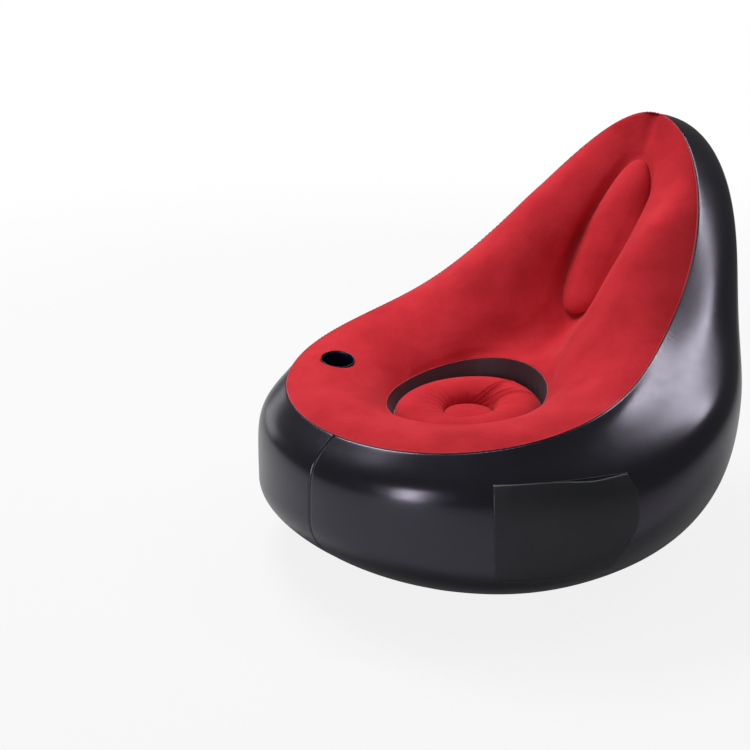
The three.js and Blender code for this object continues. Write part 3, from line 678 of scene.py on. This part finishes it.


# %% [markdown]
# ## Weld edges
# Along the rim and the well a slim round bead follows each edge of the flocked sheet: it hides the
# gap between the skins as the real weld does, and its paler red is a painted sheen along the edge.

# %% Beads
def bead(path, radius, sides=8):
    """Closed ring tube: circles of the radius, square to the path and upright with it."""
    ahead = np.roll(path, -1, axis=0) - np.roll(path, 1, axis=0)
    ahead /= np.linalg.norm(ahead, axis=1, keepdims=True)
    out = np.cross(ahead, [0, 0, 1.0])
    out /= np.linalg.norm(out, axis=1, keepdims=True)
    over = np.cross(out, ahead)
    turn = np.linspace(0, 2 * np.pi, sides, endpoint=False)[None, :, None]
    ring = out[:, None] * np.cos(turn) + over[:, None] * np.sin(turn)
    points = path[:, None] + radius * ring
    index = np.arange(len(path) * sides).reshape(len(path), sides)
    return points.reshape(-1, 3), quads_of(index, wraps_u=True, wraps_v=True)


AROUND_STEPS, RIM_WOBBLE = 720, 0.0009
RIM_BEAD_RADIUS, WELL_BEAD_RADIUS = 0.0012, 0.0009
around = np.linspace(-np.pi, np.pi, AROUND_STEPS, endpoint=False)
rim_path = polar(rim_radius(around), around, rim_height(around), AXIS_Y)
off_rim = normals(wall_point, around, np.full(AROUND_STEPS, 2 - STEP))
rim_path = rim_path + off_rim * (RIM_WOBBLE * crinkle(around))[:, None]
# Both beads take the paler flock: painted sheen along the rim and the well.
points, faces = bead(rim_path, RIM_BEAD_RADIUS)
add_piece("rim_bead", points, faces, painted_sheen_flock)
points, faces = bead(well_edge(around), WELL_BEAD_RADIUS)
add_piece("well_bead", points, faces, painted_sheen_flock)

# %% [markdown]
# ## The well and the seat
# A dark band of matte vinyl walls the well. The seat is a ring of air held down at its rim and in the
# middle, so its section is half an ellipse between the two, and the gathers round the button run
# out as fine pleats. Four longer folds sweep to one side, as the photograph shows.

# %% Well band
BAND_UNDER_LIP, BAND_UNDER_SEAT = 0.0008, 0.004
BAND_WAVES, BAND_WAVE_HEIGHT = 40, 0.0004


def well_wall_point(angle, share):
    """Straight line from just under the lip down past the seat's edge, with fine waves below."""
    top = well_edge(angle)[..., 2] - BAND_UNDER_LIP
    foot = SEAT_HEIGHT - BAND_UNDER_SEAT
    inner = WELL_RADIUS - WELL_TAPER * share - BAND_WAVE_HEIGHT * np.sin(BAND_WAVES * angle) * share
    return polar(inner, angle, top + (foot - top) * share, WELL_Y + WELL_FOOT_BACK * share)


uu, vv = np.meshgrid(around, np.linspace(0, 1, 24), indexing="ij")
points = well_wall_point(uu, vv).reshape(-1, 3)
faces = quads_of(np.arange(uu.size).reshape(uu.shape), wraps_u=True)
add_piece("well_band", points, faces, well_vinyl, ["well_wall"], gauge=WALL_GAUGE)

# %% Seat
SEAT_RADIUS = WELL_RADIUS - WELL_TAPER - 0.0008
SEAT_Y = WELL_Y + WELL_FOOT_BACK
PLEATS, PLEAT_HEIGHT, PLEAT_REACH, CALM_DEGREES = 26, 0.002, 0.17, 45
FOLD_DEPTH, FOLD_WIDTH = 0.005, 0.0021
FOLD_LIP_HEIGHT, FOLD_LIP_AT, FOLD_LIP_WIDTH = 0.0022, 0.0042, 0.0026
SEAT_WAVE_HEIGHT = 0.0012
FOLDS = ((-45, 52, 0.25, 0.66), (-30, 40, 0.2, 0.4), (-20, 48, 0.17, 0.45), (4, 30, 0.12, 0.85))


def seat_relief(angle, sweep):
    """Short pleats that die away from the button, and four folds that curve from it to one side.

    A fold is (degrees at the middle, degrees it turns, sweep in which it turns, sweep at its end).
    Its section is a sharp bell inwards with a lower, wider bell beside it.
    """
    near = np.exp(-sweep / PLEAT_REACH)
    ripple = np.sin(PLEATS * angle + 1.4 * np.sin(3 * angle))
    pleat = PLEAT_HEIGHT * near * ripple * np.sin(np.pi * np.sqrt(sweep))
    folds = np.zeros_like(angle)
    radius = BUTTON_RADIUS + (SEAT_RADIUS - BUTTON_RADIUS) * (1 - np.cos(np.pi * sweep)) / 2
    for start, turn, over, end in FOLDS:
        centre = np.radians(start + turn * (1 - np.exp(-sweep / over)))
        off = np.arctan2(np.sin(angle - centre), np.cos(angle - centre)) * radius
        length = 1 / (1 + np.exp((sweep - end) / 0.03)) * np.clip(sweep / 0.05, 0, 1)
        lip = FOLD_LIP_HEIGHT * bump(off - FOLD_LIP_AT, FOLD_LIP_WIDTH)
        folds += length * (lip - FOLD_DEPTH * bump(off, FOLD_WIDTH))
    calm = 1 - bump(np.arctan2(np.sin(angle), np.cos(angle)), math.radians(CALM_DEGREES))
    return pleat * calm + folds + SEAT_WAVE_HEIGHT * np.sin(3 * angle + 1) * np.sin(np.pi * sweep)


def seat_point(angle, sweep):
    """Half ellipse swept round between the button, sweep 0, and the edge, sweep 1."""
    half = (SEAT_RADIUS - BUTTON_RADIUS) / 2
    r = BUTTON_RADIUS + half - half * np.cos(np.pi * sweep)
    crown = SEAT_FRONT_CROWN + (SEAT_BACK_CROWN - SEAT_FRONT_CROWN) * rear(angle, 1)
    height = SEAT_HEIGHT + crown * np.sin(np.pi * sweep) + seat_relief(angle, sweep)
    return polar(r, angle, height, SEAT_Y)


def capped(points, index, pole):
    """Faces of a grid that closes on itself, and a fan from its first ring to one more point."""
    ring = index[:, 0]
    fan = np.stack([np.full(len(ring), len(points)), np.roll(ring, -1), ring], -1)
    return np.concatenate([points, [pole]]), [quads_of(index, wraps_u=True), fan]


uu, vv = np.meshgrid(around, np.linspace(0, 1, 60), indexing="ij")
points = seat_point(uu, vv).reshape(-1, 3)
index = np.arange(uu.size).reshape(uu.shape)
points, faces = capped(points, index, (0, SEAT_Y, SEAT_HEIGHT - 0.0005))
seat_pad = add_piece("seat_pad", points, faces, red_flock, ["seat_cushion"],
                     gauge=FLOCK_GAUGE, inside=(0, WELL_Y, 0.1))


# %% Button
BUTTON_MARGIN, BUTTON_LIFT, BUTTON_PUCKER = 0.0012, 0.0006, 0.0004


def button_point(angle, sweep):
    """Low dome, a cosine to the power 0.8, whose edge is puckered where it is welded down."""
    r = (BUTTON_RADIUS - BUTTON_MARGIN) * np.sin(np.pi / 2 * sweep)
    rise = BUTTON_CROWN * np.cos(np.pi / 2 * sweep) ** 0.8
    pucker = BUTTON_PUCKER * sweep**6 * np.sin(PLEATS * angle)
    return polar(r, angle, SEAT_HEIGHT + BUTTON_LIFT + rise + pucker, SEAT_Y)


uu, vv = np.meshgrid(around[::4], np.linspace(0.03, 1, 24), indexing="ij")
points = button_point(uu, vv).reshape(-1, 3)
index = np.arange(uu.size).reshape(uu.shape)
points, faces = capped(points, index, (0, SEAT_Y, SEAT_HEIGHT + BUTTON_LIFT + BUTTON_CROWN))
button_pad = add_piece("button_pad", points, faces, red_flock, ["seat_button"],
                       gauge=FLOCK_GAUGE, inside=(0, WELL_Y, 0.1))

# %% [markdown]
# ## The oval cushion
# A flat oval is welded to the valley of the back and filled from inside. Its edge lies on the top
# sheet and its section is full like half an ellipse. Its middle stands 6 mm higher than in the CAD,
# as the photograph shows it.

# %% Oval cushion
CUSHION_LIFT, BISECTIONS = 0.0009, 34


def angle_across(x, t):
    """Angle at which the top passes a place across the back: bisection on the half in front of it."""
    low, high = np.zeros_like(x), np.full_like(x, np.pi / 2)
    for _ in range(BISECTIONS):
        middle = (low + high) / 2
        short = top_point(middle, t)[..., 0] < np.abs(x)
        low, high = np.where(short, middle, low), np.where(short, high, middle)
    return np.sign(x) * low


def cushion_point(heading, sweep):
    """Oval on the top sheet, raised along its normals by the height of half an ellipse."""
    out = np.sin(np.pi / 2 * sweep)
    t = share_down(CUSHION_FROM_RIM + CUSHION_LENGTH / 2 * (1 - out * np.cos(heading)))
    turn = angle_across(CUSHION_WIDTH / 2 * out * np.sin(heading), t)
    rise = CUSHION_LIFT + CUSHION_CROWN * np.cos(np.pi / 2 * sweep)
    return top_point(turn, t) + normals(top_point, turn, t) * rise[..., None]


uu, vv = np.meshgrid(around[::3], np.linspace(0.03, 1, 48), indexing="ij")
points = cushion_point(uu, vv).reshape(-1, 3)
index = np.arange(uu.size).reshape(uu.shape)
points, faces = capped(points, index, cushion_point(np.zeros(1), np.zeros(1))[0])
back_pad = add_piece("back_pad", points, faces, red_flock, ["back_cushion"],
                     gauge=FLOCK_GAUGE, inside=(0, 0.5, 0.4))

# %% [markdown]
# ## The cup
# A moulded cup, with fine upright ribs inside that grip a can, hangs in the hole by its lip.

# %% Cup
CUP_DEPTH, CUP_GAUGE, CUP_LIP, CUP_TAPER_SHARE = 0.078, 0.0012, 0.002, 0.86
CUP_STEPS, CUP_RIBS, CUP_RIB_DEPTH, CUP_ROUNDING = 360, 60, 0.0008, 0.0004


def placed(points, place, axis):
    """Carries points built about +Y so that +Y points along the axis."""
    turn = Vector((0, 1, 0)).rotation_difference(Vector(axis)).to_matrix()
    return points @ np.array(turn).T + np.asarray(place)


def turned(outline, steps, waves=0, depth=0.0, ribbed=()):
    """Outline of (radius, height) swept round +Y and closed at both poles; ribbed rows get ribs."""
    outline = np.asarray(outline, float)
    turn = np.linspace(0, 2 * np.pi, steps, endpoint=False)[:, None]
    radius = np.repeat(outline[None, :, 0], steps, axis=0)
    for row in ribbed:
        radius[:, row] += depth * np.abs(np.sin(waves / 2 * turn[:, 0]))
    height = np.repeat(outline[None, :, 1], steps, axis=0)
    points = np.stack([radius * np.cos(turn), height, radius * np.sin(turn)], -1).reshape(-1, 3)
    index = np.arange(len(points)).reshape(steps, len(outline))
    poles = len(points) + np.arange(2)
    points = np.concatenate([points, [[0, outline[0, 1], 0], [0, outline[-1, 1], 0]]])
    ahead = np.roll(index, -1, axis=0)
    low = np.stack([np.full(steps, poles[0]), index[:, 0], ahead[:, 0]], -1)
    high = np.stack([np.full(steps, poles[1]), ahead[:, -1], index[:, -1]], -1)
    return points, [quads_of(index, wraps_u=True), np.concatenate([low, high])]


foot = CUP_RADIUS * CUP_TAPER_SHARE
cup_inner, foot_inner = CUP_RADIUS - CUP_GAUGE, foot - CUP_GAUGE
outline = [
    (foot / 3, -CUP_DEPTH), (foot - 0.003, -CUP_DEPTH), (foot, -CUP_DEPTH + 0.003),
    (CUP_RADIUS - CUP_ROUNDING, -0.001), (CUP_RADIUS, 0.0), (CUP_RADIUS, CUP_LIP - 0.0006),
    (CUP_RADIUS - CUP_ROUNDING, CUP_LIP),
    (cup_inner + 0.0002, CUP_LIP), (cup_inner - 0.0003, CUP_LIP - 0.0008),
]
down = np.linspace(-0.004, CUP_GAUGE - CUP_DEPTH + 0.004, 14)
depth_share = down / (CUP_GAUGE - CUP_DEPTH)
outline += [
    (cup_inner - CUP_ROUNDING - (cup_inner - foot_inner) * q, h) for q, h in zip(depth_share, down)
]
outline += [(foot_inner - 0.004, CUP_GAUGE - CUP_DEPTH), (foot_inner / 3, CUP_GAUGE - CUP_DEPTH)]
points, faces = turned(outline, CUP_STEPS, CUP_RIBS, -CUP_RIB_DEPTH, range(9, 9 + len(down)))
points = placed(points, cup_place, cup_axis)
add_piece("cup", points, faces, navy_plastic, ["cup_holder"])

# %% [markdown]
# ## The pocket
# A flat panel of matte vinyl is welded to the wall along its sides and foot. Its mouth stands off the
# wall and sags in its rear half, and a stiff band with a thick upper edge is welded to the wall behind
# the mouth, so a dark slot opens between the two. Cloth simulation would only crease a sheet that is
# held on three sides, so both are laid on the wall by formula and the slack is put where it shows.

# %% Pocket panel
RIM_TO_MOUTH, POCKET_DEPTH = 0.029, 0.178
POCKET_OFF, POCKET_GAPE = 0.00105, 0.012
MOUTH_SAG, SAG_AT, SAG_WIDTH = 0.032, 0.72, 0.22
POCKET_TOP_DEGREES, POCKET_FOOT_DEGREES, POCKET_BELLY_DEGREES = (137.5, 106), (136.5, 109), 1.6
BAND_HEIGHT, BAND_GAUGE, BAND_EDGE, BAND_THICKNESS = 0.013, 0.0004, 0.0014, 0.0003
inside_near_pocket = (0.2, -0.1, 0.2)


def section_at(angle, height):
    """Wall parameter s at a height: bisection."""
    low, high = np.zeros_like(angle), np.full_like(angle, 2.0)
    for _ in range(BISECTIONS):
        middle = (low + high) / 2
        short = wall_section(angle, middle)[1] < height
        low, high = np.where(short, middle, low), np.where(short, high, middle)
    return low


def on_side(u, v, off):
    """Point off the wall: u runs back along the side, v down from the mouth, as shares of the pocket.

    The front edge is straight in angle; the rear one eases out to the belly and in to the foot.
    """
    (top_front, top_rear), (foot_front, foot_rear) = POCKET_TOP_DEGREES, POCKET_FOOT_DEGREES
    front = top_front + (foot_front - top_front) * v
    rear_edge = top_rear - POCKET_BELLY_DEGREES * eased(v, 0.0, 0.2)
    rear_edge = rear_edge + (foot_rear - top_rear + POCKET_BELLY_DEGREES) * eased(v, 0.45, 1.0)
    angle = np.radians(front + (rear_edge - front) * u)
    s = section_at(angle, RIM_FRONT_HEIGHT - RIM_TO_MOUTH - POCKET_DEPTH * v)
    lift = off + side_swell(angle, s)
    return wall_point(angle, s) + normals(wall_point, angle, s) * lift[..., None]


def pocket_point(u, v):
    """The panel: its mouth sags as a bell of u and stands off as half a sine wave, less below."""
    along = np.sin(np.pi * np.clip(u, 0, 1))
    gape = POCKET_GAPE * along * np.maximum(0, 1 - v) ** 1.5
    sag = MOUTH_SAG * bump(u - SAG_AT, SAG_WIDTH) * along**0.5
    return on_side(u, v + (1 - v) * sag, POCKET_OFF + gape)


uu, vv = np.meshgrid(np.linspace(0, 1, 90), np.linspace(0, 1, 70), indexing="ij")
panel = pocket_point(uu, vv)
faces = quads_of(np.arange(uu.size).reshape(uu.shape))
pocket = add_piece("pocket", panel.reshape(-1, 3), faces, pocket_vinyl,
                   ["pocket_panel"], gauge=WALL_GAUGE, inside=inside_near_pocket)


# %% Band behind the mouth
def band_point(u, share):
    """Band on the wall below the mouth line; its upper edge is a bell that fades at both ends."""
    along = eased(u, 0.0, 0.12) * (1 - eased(u, 0.9, 1.0))
    edge = BAND_EDGE * bump(share, 0.16) * along
    return on_side(u, BAND_HEIGHT / POCKET_DEPTH * (share - 0.08), BAND_GAUGE + edge)


uu, vv = np.meshgrid(np.linspace(0, 1, 90), np.linspace(0, 1, 16), indexing="ij")
points = band_point(uu, vv).reshape(-1, 3)
faces = quads_of(np.arange(uu.size).reshape(uu.shape))
hem = add_piece("hem", points, faces, pocket_vinyl, ["pocket_hem"],
                gauge=BAND_THICKNESS, inside=inside_near_pocket)

# %% Cut size of the pocket
down = np.linalg.norm(np.diff(panel, axis=1), axis=-1).sum(axis=1).max()

# %% [markdown]
# ## Frame nodes that stay
# The valve is hard moulded vinyl and the base and ties are plain film, so their CAD solids stay and
# take a finish.

# %% Finishes of the frame nodes
for name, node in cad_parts.items():
    finish = None
    if name.startswith("valve"):
        finish = valve_plastic
    elif "tie" in name:
        finish = tie_film
    elif name == "base_sheet":
        finish = black_vinyl
    if finish is not None:
        node.data.materials.clear()
        node.data.materials.append(finish)
        print(name, "keeps its solid and takes", finish.name)

# %% [markdown]
# ## Floor, light and camera
# The photograph is a plain studio picture, and its light tells where the lamps stood. The flock is
# brightest where it faces high to the sitter's right, so the key hangs there, with weaker boxes beside
# and above it. Mirrored at the wall, the soft spot in the middle points to a low lamp in front, and
# the long one on the flank to a strip high behind. The floor and the world show white to the camera
# alone, so their white throws next to no light on the chair.

# %% Background share
GLOSSY_SHARE, WORLD_STRENGTH = 0.05, 0.08


def background_seen(node, link):
    """1 for what the camera sees, itself or through glass, and a small share for reflections.

    A studio is dark around its lamps, so black vinyl mirrors little of the white backdrop.
    """
    path = node("ShaderNodeLightPath")
    mirrored = node("ShaderNodeMath", operation="MULTIPLY")
    mirrored.inputs[1].default_value = GLOSSY_SHARE
    link(path.outputs["Is Glossy Ray"], mirrored.inputs[0])
    direct = node("ShaderNodeMath", operation="MAXIMUM")
    link(path.outputs["Is Camera Ray"], direct.inputs[0])
    link(path.outputs["Is Transmission Ray"], direct.inputs[1])
    seen = node("ShaderNodeMath", operation="MAXIMUM")
    link(direct.outputs["Value"], seen.inputs[0])
    link(mirrored.outputs["Value"], seen.inputs[1])
    return seen.outputs["Value"]


# %% Floor
def floor_finish():
    """Pale floor that reads as white; near the chair more of its own shade and shadow shows."""
    material, shader, node, link = finish_named("pale floor")
    place = node("ShaderNodeTexCoord")
    distance = node("ShaderNodeVectorMath", operation="LENGTH")
    link(place.outputs["Object"], distance.inputs[0])
    fade = node("ShaderNodeMapRange", interpolation_type="SMOOTHSTEP")
    for socket, value in (("From Min", 0.9), ("From Max", 4.0), ("To Min", 0.86), ("To Max", 1.0)):
        fade.inputs[socket].default_value = value
    link(distance.outputs["Value"], fade.inputs["Value"])
    share = node("ShaderNodeMath", operation="MULTIPLY")
    link(background_seen(node, link), share.inputs[0])
    link(fade.outputs["Result"], share.inputs[1])
    glow = node("ShaderNodeEmission")
    glow.inputs["Color"].default_value = (1, 1, 1, 1)
    mix = node("ShaderNodeMixShader")
    link(share.outputs["Value"], mix.inputs["Fac"])
    link(shader.outputs["BSDF"], mix.inputs[1])
    link(glow.outputs["Emission"], mix.inputs[2])
    shader.inputs["Base Color"].default_value = (0.5, 0.5, 0.5, 1)
    shader.inputs["Roughness"].default_value = 0.9
    out = next(n for n in material.node_tree.nodes if n.type == "OUTPUT_MATERIAL")
    link(mix.outputs["Shader"], out.inputs["Surface"])
    return material


FLOOR_HALF, FLOOR_Z = 40.0, -0.0005
floor_mesh = bpy.data.meshes.new("floor")
corners = [(x * FLOOR_HALF, y * FLOOR_HALF, FLOOR_Z) for x, y in ((-1, -1), (1, -1), (1, 1), (-1, 1))]
floor_mesh.from_pydata(corners, [], [(0, 1, 2, 3)])
floor = bpy.data.objects.new("floor", floor_mesh)
bpy.context.scene.collection.objects.link(floor)
floor_mesh.materials.append(floor_finish())

# %% World
world = bpy.data.worlds.new("studio")
bpy.context.scene.world = world
world.use_nodes = True
tree = world.node_tree
background = tree.nodes["Background"]
background.inputs["Color"].default_value = (1, 1, 1, 1)


def world_node(kind, **values):
    made = tree.nodes.new(kind)
    for key, value in values.items():
        setattr(made, key, value)
    return made


strength = world_node("ShaderNodeMapRange")
strength.inputs["To Min"].default_value = WORLD_STRENGTH
strength.inputs["To Max"].default_value = 1.0
tree.links.new(background_seen(world_node, tree.links.new), strength.inputs["Value"])
tree.links.new(strength.outputs["Result"], background.inputs["Strength"])


# %% Lamps
LAMP_DISTANCE = 3.0
LAMP_AIM = Vector((0, -0.05, 0.35))


def towards(azimuth, elevation):
    """Unit vector away from the chair: azimuth 0 is in front and 90 at the sitter's left."""
    a, e = math.radians(azimuth), math.radians(elevation)
    return Vector((math.sin(a) * math.cos(e), -math.cos(a) * math.cos(e), math.sin(e)))


def softbox(name, away, width, height, watts, along=Vector((0, 0, 1))):
    """Area lamp on a sphere round the chair, facing it; its height lies along a given direction."""
    data = bpy.data.lights.new(name, "AREA")
    data.shape = "RECTANGLE"
    data.size, data.size_y = width, height
    data.energy = watts
    lamp = bpy.data.objects.new(name, data)
    side = along.cross(away).normalized()
    axes = Matrix((side, away.cross(side), away)).transposed().to_4x4()
    lamp.matrix_world = Matrix.Translation(LAMP_AIM + away * LAMP_DISTANCE) @ axes
    bpy.context.scene.collection.objects.link(lamp)
    print("lamp", name, "at", [round(c, 2) for c in lamp.location], watts, "W")


softbox("key", towards(-92, 57), 1.3, 1.0, 84)
softbox("top", towards(0, 85), 1.0, 1.0, 10)
softbox("back left", towards(-138, 48), 1.0, 0.7, 10)
softbox("front left", towards(-52, 58), 0.8, 0.6, 7)
softbox("front", towards(12, 10), 0.5, 1.3, 19)
softbox("left fill", towards(-85, 4), 1.2, 0.8, 3)
strip_low, strip_high = towards(137, 39), towards(166, 67)
strip_run = strip_high - strip_low
strip_middle = (strip_low + strip_high).normalized()
softbox("strip", strip_middle, 0.2, strip_run.length * LAMP_DISTANCE, 20, strip_run)


# %% Camera
CAMERA_AT = Vector((1.88614, -2.09478, 1.32595))
CAMERA_LOOK = Vector((-0.69712135, 0.6343835, -0.33403504))
FOCAL_PIXELS, FRAME_PIXELS = 1427.102, 750
camera_data = bpy.data.cameras.new("camera")
camera_data.sensor_width = 36
camera_data.lens = FOCAL_PIXELS / FRAME_PIXELS * 36
camera_data.clip_end = 200
camera = bpy.data.objects.new("camera", camera_data)
right = CAMERA_LOOK.cross(Vector((0, 0, 1))).normalized()
over = right.cross(CAMERA_LOOK)
axes = Matrix((right, over, -CAMERA_LOOK)).transposed().to_4x4()
camera.matrix_world = Matrix.Translation(CAMERA_AT) @ axes
bpy.context.scene.collection.objects.link(camera)
bpy.context.scene.camera = camera
bpy.context.scene.view_settings.view_transform = "Standard"
